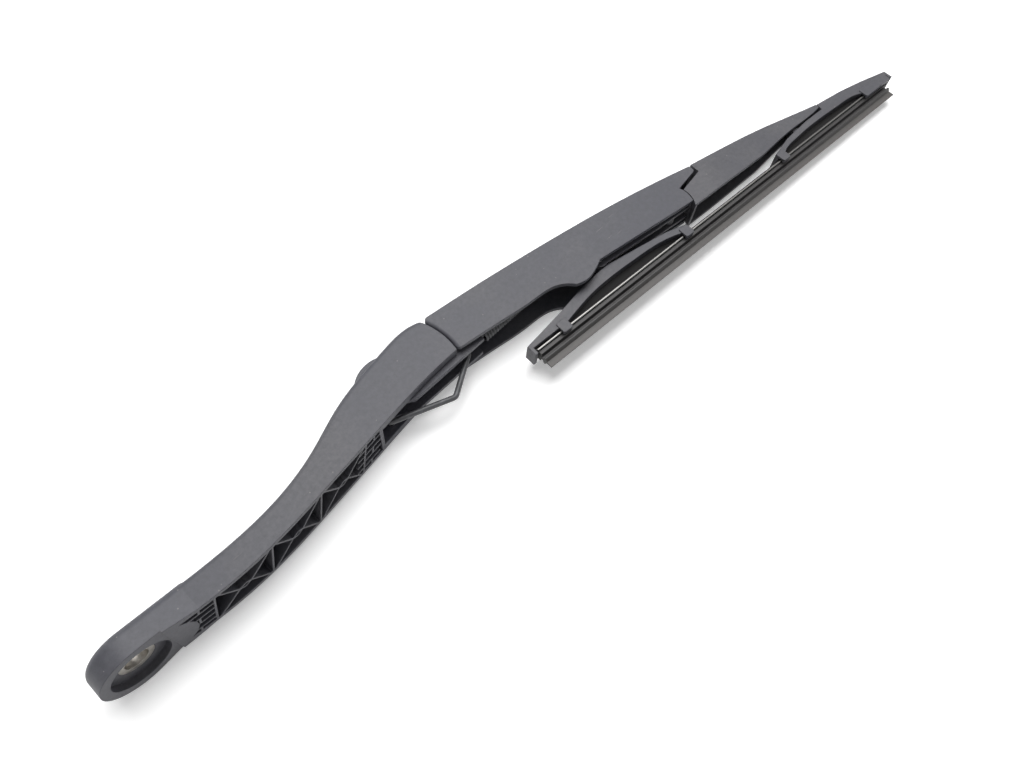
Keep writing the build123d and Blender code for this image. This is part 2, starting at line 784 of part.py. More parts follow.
outer_top = [(outer_claws[0] - claw_length / 2, yoke_foot_height)] + outer_yoke_top + outer_tip_top
outer_top.append((outer_reach, yoke_tip_height))
outer_yoke = make_yoke(
    outer_top,
    outer_arch,
    outer_claws,
    tip_claw_length,
    outer_reach,
    outer_pivot,
    outer_ear_radius,
)
outer_yoke.part.label = "outer_yoke"
export_step(outer_yoke.part, "parts/outer_yoke.step")

# Rubber: wiping lip, squeegee, hinge neck, body with two grooves and a head
with BuildPart() as rubber:
    with BuildSketch(blade_section.offset(-half_length)):
        with BuildLine() as section_line:
            Polyline(
                (0, lip_edge),
                (lip_half, lip_edge),
                (lip_half, lip_height),
                (squeegee_half, squeegee_height - 2 * lip_half),
                (squeegee_half, squeegee_height),
                (neck_half, neck_low),
                (neck_half, neck_high),
                (rubber_half, neck_high + neck_half),
                (rubber_half, flexor_height),
                (flexor_groove, flexor_height),
                (flexor_groove, flexor_height + flexor_thickness + 2 * flexor_play),
                (rubber_head_half, flexor_height + flexor_thickness + 2 * flexor_play),
                (rubber_head_half, rubber_top - lip_half),
                (rubber_head_half - lip_half, rubber_top),
                (0, rubber_top),
            )
            mirror(about=Plane.YZ)
        make_face()
    extrude(amount=rubber_length)
rubber.part.label = "rubber"
export_step(rubber.part, "parts/rubber.step")

# Spring strips in the rubber's two grooves
for name, hand in (("upper_flexor", 1), ("lower_flexor", -1)):
    strip_width = flexor_half - flexor_groove - flexor_play
    with BuildPart() as flexor:
        with BuildSketch(blade_section.offset(-half_length)):
            strip_middle = flexor_height + flexor_play + flexor_thickness / 2
            with Locations((hand * (flexor_half - strip_width / 2), strip_middle)):
                Rectangle(strip_width, flexor_thickness)
        extrude(amount=rubber_length)
    flexor.part.label = name
    export_step(flexor.part, f"parts/{name}.step")
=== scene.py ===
import math

import bmesh
import bpy
from bpy.props import FloatProperty, FloatVectorProperty, IntProperty, PointerProperty
from mathutils import Matrix, Vector


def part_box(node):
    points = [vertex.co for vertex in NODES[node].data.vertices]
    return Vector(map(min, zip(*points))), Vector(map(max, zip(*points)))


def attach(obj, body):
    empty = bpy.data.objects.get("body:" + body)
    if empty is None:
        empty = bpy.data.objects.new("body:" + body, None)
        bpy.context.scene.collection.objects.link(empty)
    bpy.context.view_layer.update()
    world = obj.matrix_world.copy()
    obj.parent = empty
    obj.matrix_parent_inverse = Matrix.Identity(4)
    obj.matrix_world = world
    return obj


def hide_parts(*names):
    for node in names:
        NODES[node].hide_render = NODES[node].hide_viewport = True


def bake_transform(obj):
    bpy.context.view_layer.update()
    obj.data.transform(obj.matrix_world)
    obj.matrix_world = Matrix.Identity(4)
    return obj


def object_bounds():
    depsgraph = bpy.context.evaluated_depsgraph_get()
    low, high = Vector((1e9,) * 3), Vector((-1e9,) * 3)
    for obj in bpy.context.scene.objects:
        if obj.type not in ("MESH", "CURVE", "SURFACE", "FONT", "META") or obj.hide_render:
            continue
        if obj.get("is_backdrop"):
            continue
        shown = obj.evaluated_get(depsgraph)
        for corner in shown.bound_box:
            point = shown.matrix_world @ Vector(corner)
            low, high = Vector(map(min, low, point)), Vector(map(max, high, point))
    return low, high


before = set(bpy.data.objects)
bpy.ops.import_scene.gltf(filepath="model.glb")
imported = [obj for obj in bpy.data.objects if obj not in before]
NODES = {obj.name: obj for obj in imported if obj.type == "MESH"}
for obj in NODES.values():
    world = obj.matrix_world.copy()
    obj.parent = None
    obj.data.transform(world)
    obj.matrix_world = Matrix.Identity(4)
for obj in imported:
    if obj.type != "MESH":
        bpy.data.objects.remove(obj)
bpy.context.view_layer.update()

bl_info = {
    "name": "Rear wiper arm dresser",
    "version": (1, 0, 0),
    "blender": (4, 5, 0),
    "location": "3D View > Sidebar > Wiper",
    "description": "Gives the rear wiper arm and blade their finishes, spring and stage",
    "category": "Object",
}

IMAGE_WIDTH = 1024
MM = 0.001
FLOOR_GAP = 0.2 * MM
MERGE_DISTANCE = 0.001 * MM
CUT_TOLERANCE = 0.0001 * MM
GRAIN_DEPTH = 0.04 * MM
FINE_GRAIN_DEPTH = 0.03 * MM
EDGE_HEIGHT = "edge_height"


class WiperSizes(bpy.types.PropertyGroup):
    """Sizes of the pieces that are modelled here."""

    spring_wire: FloatProperty(
        name="Spring wire",
        description="Diameter of the tension spring's wire",
        default=0.0018,
        subtype="DISTANCE",
    )
    spring_turn_steps: IntProperty(
        name="Steps a turn",
        description="Straight steps in one turn of the spring",
        default=20,
    )
    spring_sides: IntProperty(
        name="Wire sides",
        description="Sides of the spring wire's section",
        default=10,
    )
    hook_eye: FloatProperty(
        name="Hook eye",
        description="Radius of the spring's eye at the hook, to the middle of the wire",
        default=0.0030,
        subtype="DISTANCE",
    )
    pin_eye: FloatProperty(
        name="Pin eye",
        description="Radius of the spring's eye at its end pin, to the middle of the wire",
        default=0.0026,
        subtype="DISTANCE",
    )
    spring_shank: FloatProperty(
        name="Spring shank",
        description="Length of the hook eye's shank, which slides in the coils",
        default=0.005,
        subtype="DISTANCE",
    )
    bend_cuts: IntProperty(
        name="Bend steps",
        description="Steps along each half of the rubber in which it can bend",
        default=24,
    )
    lip_depth: FloatProperty(
        name="Worn lip depth",
        description="How far up the rubber the wear and dust reach",
        default=0.0042,
        subtype="DISTANCE",
    )
    edge_softness: FloatProperty(
        name="Edge softness",
        description="Radius of the moulded edges' rounding in the finish",
        default=0.0005,
        subtype="DISTANCE",
    )
    metal_softness: FloatProperty(
        name="Metal edge softness",
        description="Radius of the metal edges' rounding in the finish",
        default=0.0003,
        subtype="DISTANCE",
    )
    rubber_softness: FloatProperty(
        name="Rubber edge softness",
        description="Radius of the rubber edges' rounding in the finish",
        default=0.00025,
        subtype="DISTANCE",
    )
    # Half-thickness of the yokes' middle web, on whose flat sides shade is painted as a near-black colour.
    painted_dark_half: FloatProperty(
        name="Web painted dark",
        description="Distance from the middle plane within which a yoke's web is grimy",
        default=0.0012,
        subtype="DISTANCE",
    )


class WiperFinishes(bpy.types.PropertyGroup):
    """Colours of the finishes."""

    plastic: FloatVectorProperty(
        name="Satin plastic",
        description="Colour of the head and the arm",
        default=(0.043, 0.044, 0.056),
        subtype="COLOR",
        size=3,
    )
    blade_plastic: FloatVectorProperty(
        name="Blade plastic",
        description="Colour of the bridge and the yokes",
        default=(0.046, 0.046, 0.056),
        subtype="COLOR",
        size=3,
    )
    dust: FloatVectorProperty(
        name="Dust",
        description="Colour of specks and scratches",
        default=(0.42, 0.40, 0.37),
        subtype="COLOR",
        size=3,
    )
    insert_metal: FloatVectorProperty(
        name="Insert metal",
        description="Colour of the spindle insert",
        default=(0.36, 0.34, 0.31),
        subtype="COLOR",
        size=3,
    )
    steel: FloatVectorProperty(
        name="Pin steel",
        description="Colour of the pins",
        default=(0.42, 0.42, 0.41),
        subtype="COLOR",
        size=3,
    )
    strip: FloatVectorProperty(
        name="Strip steel",
        description="Colour of the strips in the rubber",
        default=(0.20, 0.195, 0.185),
        subtype="COLOR",
        size=3,
    )
    wire: FloatVectorProperty(
        name="Coated wire",
        description="Colour of the hook and the spring",
        default=(0.045, 0.046, 0.050),
        subtype="COLOR",
        size=3,
    )
    rubber: FloatVectorProperty(
        name="Rubber",
        description="Colour of the wiping rubber",
        default=(0.014, 0.013, 0.013),
        subtype="COLOR",
        size=3,
    )
    worn_lip: FloatVectorProperty(
        name="Worn lip",
        description="Colour of the rubber's worn and dusty lip",
        default=(0.052, 0.047, 0.044),
        subtype="COLOR",
        size=3,
    )


class WiperStage(bpy.types.PropertyGroup):
    """Camera, floor and light."""

    camera_place: FloatVectorProperty(
        name="Camera place",
        description="Where the camera stands",
        default=(0.0444, -0.1236, 0.3187),
        subtype="TRANSLATION",
        size=3,
    )
    camera_azimuth: FloatProperty(
        name="Azimuth",
        description="Turn of the camera about the vertical, from looking along +Y",
        default=math.radians(-55.14),
        subtype="ANGLE",
    )
    camera_elevation: FloatProperty(
        name="Elevation",
        description="Angle at which the camera looks down",
        default=math.radians(61.0),
        subtype="ANGLE",
    )
    camera_roll: FloatProperty(
        name="Roll",
        description="Turn of the camera about its own line of sight",
        default=math.radians(8.21),
        subtype="ANGLE",
    )
    focal_pixels: FloatProperty(
        name="Focal length",
        description="Focal length in pixels of the picture",
        default=773.3,
    )
    floor_size: FloatProperty(
        name="Floor size",
        description="Side of the square floor",
        default=6.0,
        subtype="DISTANCE",
    )
    floor_white: FloatProperty(
        name="Floor white",
        description="Share of light that the floor gives back",
        default=0.94,
    )
    shadow_veil: FloatProperty(
        name="Shadow veil",
        description="Plain white that the camera sees on the floor over its shadow",
        default=0.28,
        subtype="FACTOR",
    )
    key_power: FloatProperty(
        name="Ceiling light",
        description="Power of the large soft light overhead",
        default=30.5,
        unit="POWER",
    )
    key_place: FloatVectorProperty(
        name="Ceiling light place",
        description="Where the middle of the ceiling light hangs",
        default=(0.66, 0.45, 1.50),
        subtype="TRANSLATION",
        size=3,
    )
    key_length: FloatProperty(
        name="Ceiling light length",
        description="Length of the ceiling light along the arm",
        default=1.8,
        subtype="DISTANCE",
    )
    key_width: FloatProperty(
        name="Ceiling light width",
        description="Width of the ceiling light across the arm",
        default=0.95,
        subtype="DISTANCE",
    )
    window_power: FloatProperty(
        name="Window light",
        description="Power of the soft light from behind the outer side",
        default=2.5,
        unit="POWER",
    )
    window_place: FloatVectorProperty(
        name="Window light place",
        description="Where the middle of the window light stands",
        default=(0.05, 1.30, 0.75),
        subtype="TRANSLATION",
        size=3,
    )
    window_size: FloatProperty(
        name="Window light size",
        description="Side of the square window light",
        default=0.9,
        subtype="DISTANCE",
    )
    sky_strength: FloatProperty(
        name="Room light",
        description="Strength of the light from all round",
        default=0.34,
    )


def new_group(name, inputs, outputs):
    """Shader node group with float inputs and outputs."""
    group = bpy.data.node_groups.new(name, "ShaderNodeTree")
    for label, value in inputs:
        socket = group.interface.new_socket(label, in_out="INPUT", socket_type="NodeSocketFloat")
        socket.default_value = value
    for label in outputs:
        group.interface.new_socket(label, in_out="OUTPUT", socket_type="NodeSocketFloat")
    source = group.nodes.new("NodeGroupInput")
    result = group.nodes.new("NodeGroupOutput")
    return group, source, result


def add_math(tree, operation, first, second, clamp=False):
    """Math node fed by sockets or plain numbers, returning its result."""
    node = tree.nodes.new("ShaderNodeMath")
    node.operation = operation
    node.use_clamp = clamp
    for socket, value in zip(node.inputs, (first, second)):
        if hasattr(value, "is_output"):
            tree.links.new(value, socket)
        else:
            socket.default_value = value
    return node.outputs[0]


def add_noise(tree, vector, scale, detail, roughness=0.55):
    """Noise on Object coordinates; the scale is a socket or a number."""
    node = tree.nodes.new("ShaderNodeTexNoise")
    node.inputs["Detail"].default_value = detail
    node.inputs["Roughness"].default_value = roughness
    tree.links.new(vector, node.inputs["Vector"])
    if hasattr(scale, "is_output"):
        tree.links.new(scale, node.inputs["Scale"])
    else:
        node.inputs["Scale"].default_value = scale
    return node.outputs["Fac"]


def add_step(tree, value, low, high):
    """Smooth step from 0 at low to 1 at high."""
    node = tree.nodes.new("ShaderNodeMapRange")
    node.interpolation_type = "SMOOTHSTEP"
    tree.links.new(value, node.inputs["Value"])
    for name, number in (("From Min", low), ("From Max", high)):
        if hasattr(number, "is_output"):
            tree.links.new(number, node.inputs[name])
        else:
            node.inputs[name].default_value = number
    return node.outputs["Result"]


def grain_group():
    """Fine moulded grain: a height for bump, with slow clouds and a finer mottle for colour and gloss."""
    group, source, result = new_group(
        "Moulded grain",
        (("Grain scale", 2600.0), ("Cloud scale", 16.0), ("Mottle scale", 420.0)),
        ("Height", "Cloud", "Mottle"),
    )
    place = group.nodes.new("ShaderNodeTexCoord").outputs["Object"]
    fine = add_noise(group, place, source.outputs["Grain scale"], 2.0)
    pits = group.nodes.new("ShaderNodeTexVoronoi")
    group.links.new(place, pits.inputs["Vector"])
    group.links.new(source.outputs["Grain scale"], pits.inputs["Scale"])
    pit_share = 0.6
    height = add_math(group, "ADD", fine, add_math(group, "MULTIPLY", pits.outputs["Distance"], pit_share))
    group.links.new(height, result.inputs["Height"])
    cloud = add_noise(group, place, source.outputs["Cloud scale"], 5.0)
    group.links.new(cloud, result.inputs["Cloud"])
    mottle = add_noise(group, place, source.outputs["Mottle scale"], 4.0, 0.7)
    group.links.new(mottle, result.inputs["Mottle"])
    return group


def dust_group():
    """Sparse specks of dust and short thin scratches."""
    group, source, result = new_group(
        "Dust and scratches",
        (("Speck scale", 480.0), ("Speck size", 0.15), ("Scratch amount", 0.14)),
        ("Mask",),
    )
    speck_rarity = 0.96
    speck_amount = 0.22
    streak_turn = (0.3, 0.2, 0.5)
    streak_stretch = (60.0, 1500.0, 1500.0)
    streak_rarity = 0.735
    scratched_patch_scale = 45.0
    scratched_patch_edge = (0.56, 0.66)
    place = group.nodes.new("ShaderNodeTexCoord").outputs["Object"]
    cells = group.nodes.new("ShaderNodeTexVoronoi")
    group.links.new(place, cells.inputs["Vector"])
    group.links.new(source.outputs["Speck scale"], cells.inputs["Scale"])
    near = add_math(group, "LESS_THAN", cells.outputs["Distance"], source.outputs["Speck size"])
    split = group.nodes.new("ShaderNodeSeparateColor")
    group.links.new(cells.outputs["Color"], split.inputs[0])
    chosen = add_math(group, "GREATER_THAN", split.outputs[0], speck_rarity)
    specks = add_math(group, "MULTIPLY", near, chosen)
    turn = group.nodes.new("ShaderNodeMapping")
    turn.inputs["Rotation"].default_value = streak_turn
    turn.inputs["Scale"].default_value = streak_stretch
    group.links.new(place, turn.inputs["Vector"])
    streak = add_noise(group, turn.outputs[0], 1.0, 1.0)
    patch = add_noise(group, place, scratched_patch_scale, 2.0)
    thin = add_math(group, "GREATER_THAN", streak, streak_rarity)
    here = add_step(group, patch, *scratched_patch_edge)
    scratch = add_math(group, "MULTIPLY", thin, here)
    scratch = add_math(group, "MULTIPLY", scratch, source.outputs["Scratch amount"])
    both = add_math(group, "MAXIMUM", add_math(group, "MULTIPLY", specks, speck_amount), scratch, clamp=True)
    group.links.new(both, result.inputs["Mask"])
    return group


GROUPS = {}


def shared_group(name, maker):
    """The node group of that name, made the first time it is asked for."""
    if name not in GROUPS:
        GROUPS[name] = maker()
    return GROUPS[name]


def start_material(name):
    """New node material with its Principled shader."""
    material = bpy.data.materials.new(name)
    material.use_nodes = True
    tree = material.node_tree
    return material, tree, tree.nodes["Principled BSDF"]


def place_group(tree, name, maker, **values):
    """Places a shared group in a material with its own values."""
    node = tree.nodes.new("ShaderNodeGroup")
    node.node_tree = shared_group(name, maker)
    for label, value in values.items():
        node.inputs[label.replace("_", " ").capitalize()].default_value = value
    return node


def mix_colours(tree, factor, first, second):
    """Colour mix by a mask; the colours are sockets or plain colours."""
    node = tree.nodes.new("ShaderNodeMix")
    node.data_type = "RGBA"
    tree.links.new(factor, node.inputs["Factor"])
    for label, colour in (("A", first), ("B", second)):
        socket = next(s for s in node.inputs if s.name == label and s.type == "RGBA")
        if hasattr(colour, "is_output"):
            tree.links.new(colour, socket)
        else:
            socket.default_value = (*colour, 1.0)
    return next(s for s in node.outputs if s.type == "RGBA")


def shade(colour, factor):
    """Colour made lighter or darker."""
    return tuple(channel * factor for channel in colour)


def soft_edges(tree, radius):
    """Normal that rounds the sharp edges over a small radius."""
    node = tree.nodes.new("ShaderNodeBevel")
    node.samples = 6
    node.inputs["Radius"].default_value = radius
    return node.outputs["Normal"]


def add_bump(tree, height, distance, strength, normal):
    """Bump from a height, on top of another normal."""
    node = tree.nodes.new("ShaderNodeBump")
    node.inputs["Distance"].default_value = distance
    node.inputs["Strength"].default_value = strength
    tree.links.new(height, node.inputs["Height"])
    if normal is not None:
        tree.links.new(normal, node.inputs["Normal"])
    return node.outputs["Normal"]


def web_mask(tree, half):
    """Mask of the flat sides of a thin web in the middle plane."""
    place = tree.nodes.new("ShaderNodeTexCoord")
    across = tree.nodes.new("ShaderNodeSeparateXYZ")
    tree.links.new(place.outputs["Object"], across.inputs[0])
    facing = tree.nodes.new("ShaderNodeSeparateXYZ")
    tree.links.new(place.outputs["Normal"], facing.inputs[0])
    side_facing = 0.8
    near = add_math(tree, "LESS_THAN", add_math(tree, "ABSOLUTE", across.outputs["Z"], 0.0), half)
    flat = add_math(tree, "GREATER_THAN", add_math(tree, "ABSOLUTE", facing.outputs["Z"], 0.0), side_facing)
    return add_math(tree, "MULTIPLY", near, flat)


def moulded_plastic(name, colour, dust_colour, softness, roughness, web=None):
    """Satin moulded plastic with grain, slow clouds, dust and scratches, and, if it has a web, painted shade
    on that web: a near-black colour and full roughness on its flat sides in the middle plane.
    """
    material, tree, shader = start_material(name)
    mottle_spread = 0.38
    dusty_cloud = (0.35, 0.70)
    dusty_amount = 0.16
    gloss_spread = 0.12
    # Roughness of the web's painted shade, high so that no sheen shows on it.
    painted_dark_roughness = 0.95
    grain_strength = 0.35
    grain = place_group(tree, "grain", grain_group)
    dust = place_group(tree, "dust", dust_group)
    cloudy = add_step(tree, grain.outputs["Cloud"], *dusty_cloud)
    patches = add_math(tree, "MULTIPLY", grain.outputs["Mottle"], cloudy)
    dark = shade(colour, 1 - mottle_spread)
    light = shade(colour, 1 + mottle_spread)
    tone = mix_colours(tree, grain.outputs["Mottle"], dark, light)
    tone = mix_colours(tree, add_math(tree, "MULTIPLY", patches, dusty_amount), tone, dust_colour)
    tone = mix_colours(tree, dust.outputs["Mask"], tone, dust_colour)
    # Painted shade: where there is a web, its flat sides in the middle plane are mixed to a near-black
    # colour, standing in for the shade under the yoke's arch.
    if web:
        half, painted_dark_colour = web
        painted_dark = web_mask(tree, half)
        tone = mix_colours(tree, painted_dark, tone, painted_dark_colour)
    tree.links.new(tone, shader.inputs["Base Color"])
    gloss = tree.nodes.new("ShaderNodeMapRange")
    gloss.inputs["To Min"].default_value = roughness - gloss_spread
    gloss.inputs["To Max"].default_value = roughness + gloss_spread
    tree.links.new(grain.outputs["Cloud"], gloss.inputs["Value"])
    dull = gloss.outputs["Result"]
    # The web's painted shade is also made fully rough, so that it reflects no sheen.
    if web:
        dull = add_math(tree, "MAXIMUM", dull, add_math(tree, "MULTIPLY", painted_dark, painted_dark_roughness))
    tree.links.new(dull, shader.inputs["Roughness"])
    rounded = soft_edges(tree, softness)
    bumped = add_bump(tree, grain.outputs["Height"], GRAIN_DEPTH, grain_strength, rounded)
    tree.links.new(bumped, shader.inputs["Normal"])
    return material


def bare_metal(name, colour, roughness, stain, softness):
    """Bare metal with a fine drawn grain and a few stains."""
    material, tree, shader = start_material(name)
    stain_edge = (0.45, 0.72)
    gloss_below = 0.10
    gloss_above = 0.14
    grain_strength = 0.3
    grain = place_group(tree, "grain", grain_group, grain_scale=1800.0, cloud_scale=160.0)
    mask = add_step(tree, grain.outputs["Cloud"], *stain_edge)
    tree.links.new(mix_colours(tree, mask, colour, stain), shader.inputs["Base Color"])
    shader.inputs["Metallic"].default_value = 1.0
    gloss = tree.nodes.new("ShaderNodeMapRange")
    gloss.inputs["To Min"].default_value = roughness - gloss_below
    gloss.inputs["To Max"].default_value = roughness + gloss_above
    tree.links.new(grain.outputs["Cloud"], gloss.inputs["Value"])
    tree.links.new(gloss.outputs["Result"], shader.inputs["Roughness"])
    rounded = soft_edges(tree, softness)
    bumped = add_bump(tree, grain.outputs["Height"], FINE_GRAIN_DEPTH, grain_strength, rounded)
    tree.links.new(bumped, shader.inputs["Normal"])
    return material


def coated_wire(name, colour):
    """Black coated spring wire, worn a little."""
    material, tree, shader = start_material(name)
    worn_edge = (0.50, 0.75)
    worn_lift = 2.2
    grain_strength = 0.3
    grain = place_group(tree, "grain", grain_group, grain_scale=2200.0, cloud_scale=220.0)
    mask = add_step(tree, grain.outputs["Cloud"], *worn_edge)
    tree.links.new(mix_colours(tree, mask, colour, shade(colour, worn_lift)), shader.inputs["Base Color"])
    shader.inputs["Roughness"].default_value = 0.42
    bumped = add_bump(tree, grain.outputs["Height"], FINE_GRAIN_DEPTH, grain_strength, None)
    tree.links.new(bumped, shader.inputs["Normal"])
    return material


def blade_upward():
    """Direction across the blade's line, away from the glass."""
    points = [vertex.co for vertex in NODES["upper_flexor"].data.vertices]
    low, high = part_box("upper_flexor")
    middle = (low.x + high.x) / 2
    inner = [point for point in points if point.x < middle]
    outer = [point for point in points if point.x > middle]
    line = sum(outer, Vector()) / len(outer) - sum(inner, Vector()) / len(inner)
    return Vector((-line.y, line.x, 0)).normalized()


def height_range(name, upward):
    """Lowest and highest reach of a CAD node in a direction."""
    heights = [vertex.co.dot(upward) for vertex in NODES[name].data.vertices]
    return min(heights), max(heights)


def stored_height(tree):
    """Height over the wiping edge, which the halves of the rubber and the strips keep as an attribute."""
    node = tree.nodes.new("ShaderNodeAttribute")
    node.attribute_name = EDGE_HEIGHT
    return node.outputs["Fac"]


def wiping_rubber(name, colour, lip_colour, lip_depth, softness):
    """Black rubber, worn and dusty towards the wiping edge."""
    material, tree, shader = start_material(name)
    tone_spread = 0.3
    worn_from = 1.3
    worn_to = 0.3
    grain_strength = 0.3
    grain = place_group(tree, "grain", grain_group, grain_scale=1500.0, cloud_scale=60.0)
    height = stored_height(tree)
    dark = shade(colour, 1 - tone_spread)
    light = shade(colour, 1 + tone_spread)
    black = mix_colours(tree, grain.outputs["Cloud"], dark, light)
    dark_lip = shade(lip_colour, 1 - tone_spread)
    light_lip = shade(lip_colour, 1 + tone_spread)
    worn = mix_colours(tree, grain.outputs["Mottle"], dark_lip, light_lip)
    lip = add_step(tree, height, worn_from * lip_depth, worn_to * lip_depth)
    tree.links.new(mix_colours(tree, lip, black, worn), shader.inputs["Base Color"])
    shader.inputs["Roughness"].default_value = 0.48
    rounded = soft_edges(tree, softness)
    bumped = add_bump(tree, grain.outputs["Height"], GRAIN_DEPTH, grain_strength, rounded)
    tree.links.new(bumped, shader.inputs["Normal"])
    return material


def strip_metal(name, colour, painted_shade_colour, painted_shade_top):
    """Spring steel strip, bare and bright along its upper edge, with painted shade below: its lower part
    takes a dark, non-metallic colour so that its highlight shows as a thin line.
    """
    material, tree, shader = start_material(name)
    grain = place_group(tree, "grain", grain_group, grain_scale=1800.0, cloud_scale=90.0)
    painted_shade_edge = 0.1 * MM
    dull_share = 0.6
    bright_share = 1.3
    # Painted shade: below the given height the strip takes the dark, non-metallic shade colour, and above it
    # the bare steel.
    bright = add_step(tree, stored_height(tree), painted_shade_top - painted_shade_edge, painted_shade_top + painted_shade_edge)
    dull = shade(colour, dull_share)
    bare_steel = mix_colours(tree, grain.outputs["Cloud"], dull, shade(colour, bright_share))
    tree.links.new(mix_colours(tree, bright, painted_shade_colour, bare_steel), shader.inputs["Base Color"])
    tree.links.new(bright, shader.inputs["Metallic"])
    shader.inputs["Roughness"].default_value = 0.30
    return material


def dress(names, material):
    """Gives CAD nodes a finish."""
    for name in names:
        slots = NODES[name].data.materials
        slots.clear()
        slots.append(material)


def link_mesh(name, shape, material, smooth=True):
    """Turns a bmesh into an object with one finish."""
    bmesh.ops.remove_doubles(shape, verts=shape.verts, dist=MERGE_DISTANCE)
    bmesh.ops.recalc_face_normals(shape, faces=shape.faces)
    mesh = bpy.data.meshes.new(name)
    shape.to_mesh(mesh)
    shape.free()
    for polygon in mesh.polygons:
        polygon.use_smooth = smooth
    piece = bpy.data.objects.new(name, mesh)
    bpy.context.scene.collection.objects.link(piece)
    mesh.materials.append(material)
    return piece


def add_ring(shape, centre, axis, radius, wire_radius, sides, steps):
    """Closed wire ring, by spinning a circle about its axis."""
    across = axis.orthogonal().normalized()
    turn = Matrix((across, axis, across.cross(axis))).transposed().to_4x4()
    place = Matrix.Translation(centre + across * radius) @ turn
    made = bmesh.ops.create_circle(shape, segments=sides, radius=wire_radius, matrix=place)
    edges = list({edge for vertex in made["verts"] for edge in vertex.link_edges})
    bmesh.ops.spin(
        shape,
        geom=made["verts"] + edges,
        cent=centre,
        axis=axis,
        angle=math.tau,
        steps=steps,
        use_merge=True,
    )


class WIPER_OT_plastic(bpy.types.Operator):
    """Finish the moulded head and arm"""

    bl_idname = "wiper.plastic"
    bl_label = "Head and arm"

    def execute(self, context):
        sizes = context.scene.wiper_sizes
        finishes = context.scene.wiper_finishes
        satin = moulded_plastic(
            "satin_plastic",
            finishes.plastic,
            finishes.dust,
            sizes.edge_softness,
            roughness=0.52,
        )
        dress(("mounting_head", "arm"), satin)
        return {"FINISHED"}


class WIPER_OT_blade(bpy.types.Operator):
    """Finish the bridge, the yokes and the adapter"""

    bl_idname = "wiper.blade"
    bl_label = "Blade carriers"

    def execute(self, context):
        sizes = context.scene.wiper_sizes
        finishes = context.scene.wiper_finishes
        roughness = 0.50
        painted_dark_share = 0.5
        black = moulded_plastic(
            "blade_plastic",
            finishes.blade_plastic,
            finishes.dust,
            sizes.edge_softness,
            roughness,
        )
        dress(("bridge", "blade_adapter"), black)
        # The yokes get the same plastic with painted shade on their thin middle web: a near-black colour at
        # half the rubber's, standing in for the shade under the arch.
        webbed = moulded_plastic(
            "yoke_plastic",
            finishes.blade_plastic,
            finishes.dust,
            sizes.edge_softness,
            roughness,
            web=(sizes.painted_dark_half, shade(finishes.rubber, painted_dark_share)),
        )
        dress(("inner_yoke", "outer_yoke"), webbed)
        return {"FINISHED"}


class WIPER_OT_metal(bpy.types.Operator):
    """Finish the insert, the pins and the wire hook"""

    bl_idname = "wiper.metal"
    bl_label = "Metal pieces"

    def execute(self, context):
        softness = context.scene.wiper_sizes.metal_softness
        finishes = context.scene.wiper_finishes
        insert = bare_metal(
            "insert_metal",
            finishes.insert_metal,
            roughness=0.36,
            stain=shade(finishes.insert_metal, 0.55),
            softness=softness,
        )
        dress(("spindle_insert",), insert)
        steel = bare_metal(
            "pin_steel",
            finishes.steel,
            roughness=0.24,
            stain=shade(finishes.steel, 0.7),
            softness=softness,
        )
        dress([name for name in NODES if name.endswith("_pin")], steel)
        dress(("spring_hook",), coated_wire("dark_wire", finishes.wire))
        return {"FINISHED"}


class WIPER_OT_spring(bpy.types.Operator):
    """Wind the tension spring and its two eyes"""

    bl_idname = "wiper.spring"
    bl_label = "Tension spring"

    def execute(self, context):
        sizes = context.scene.wiper_sizes
        low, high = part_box("tension_spring")
        middle = (low + high) / 2
        wire_radius = sizes.spring_wire / 2
        coil_radius = (high.y - low.y) / 2 - wire_radius
        sides = sizes.spring_sides
        ring_steps = 2 * sizes.spring_turn_steps
        hook_eye = sizes.hook_eye
        pin_eye = sizes.pin_eye
        start = low.x + 2 * hook_eye + wire_radius
        end = high.x - 2 * pin_eye - wire_radius
        turns = round((end - start) / sizes.spring_wire)
        shape = bmesh.new()
        place = Matrix.Translation((start, middle.y, middle.z + coil_radius))
        place = place @ Matrix.Rotation(math.pi / 2, 4, "X")
        made = bmesh.ops.create_circle(shape, segments=sides, radius=wire_radius, matrix=place)
        edges = list({edge for vertex in made["verts"] for edge in vertex.link_edges})
        steps = turns * sizes.spring_turn_steps
        bmesh.ops.spin(
            shape,
            geom=made["verts"] + edges,
            cent=(start, middle.y, middle.z),
            axis=(1, 0, 0),
            dvec=((end - start) / steps, 0, 0),
            angle=math.tau * turns,
            steps=steps,
        )
        open_edges = [edge for edge in shape.edges if edge.is_boundary]
        bmesh.ops.holes_fill(shape, edges=open_edges, sides=sides)
        near_eye = Vector((low.x + wire_radius + hook_eye, middle.y, middle.z))
        far_eye = Vector((high.x - wire_radius - pin_eye, middle.y, middle.z))
        add_ring(shape, far_eye, Vector((0, 0, 1)), pin_eye, wire_radius, sides, ring_steps)
        self.keep("wound_spring", shape, "arm")
        eye = bmesh.new()
        add_ring(eye, near_eye, Vector((0, 1, 0)), hook_eye, wire_radius, sides, ring_steps)
        shank_start = near_eye.x + hook_eye
        shank = Matrix.Translation((shank_start + sizes.spring_shank / 2, middle.y, middle.z))
        bmesh.ops.create_cone(
            eye,
            segments=sides,
            radius1=wire_radius,
            radius2=wire_radius,
            depth=sizes.spring_shank,
            cap_ends=True,
            matrix=shank @ Matrix.Rotation(math.pi / 2, 4, "Y"),
        )
        self.keep("spring_eye", eye, "hook")
        return {"FINISHED"}

    def keep(self, name, shape, body):
        """Links a piece of the spring to the body that moves it."""
        piece = link_mesh(name, shape, NODES["spring_hook"].data.materials[0])
        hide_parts("tension_spring")
        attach(piece, body)


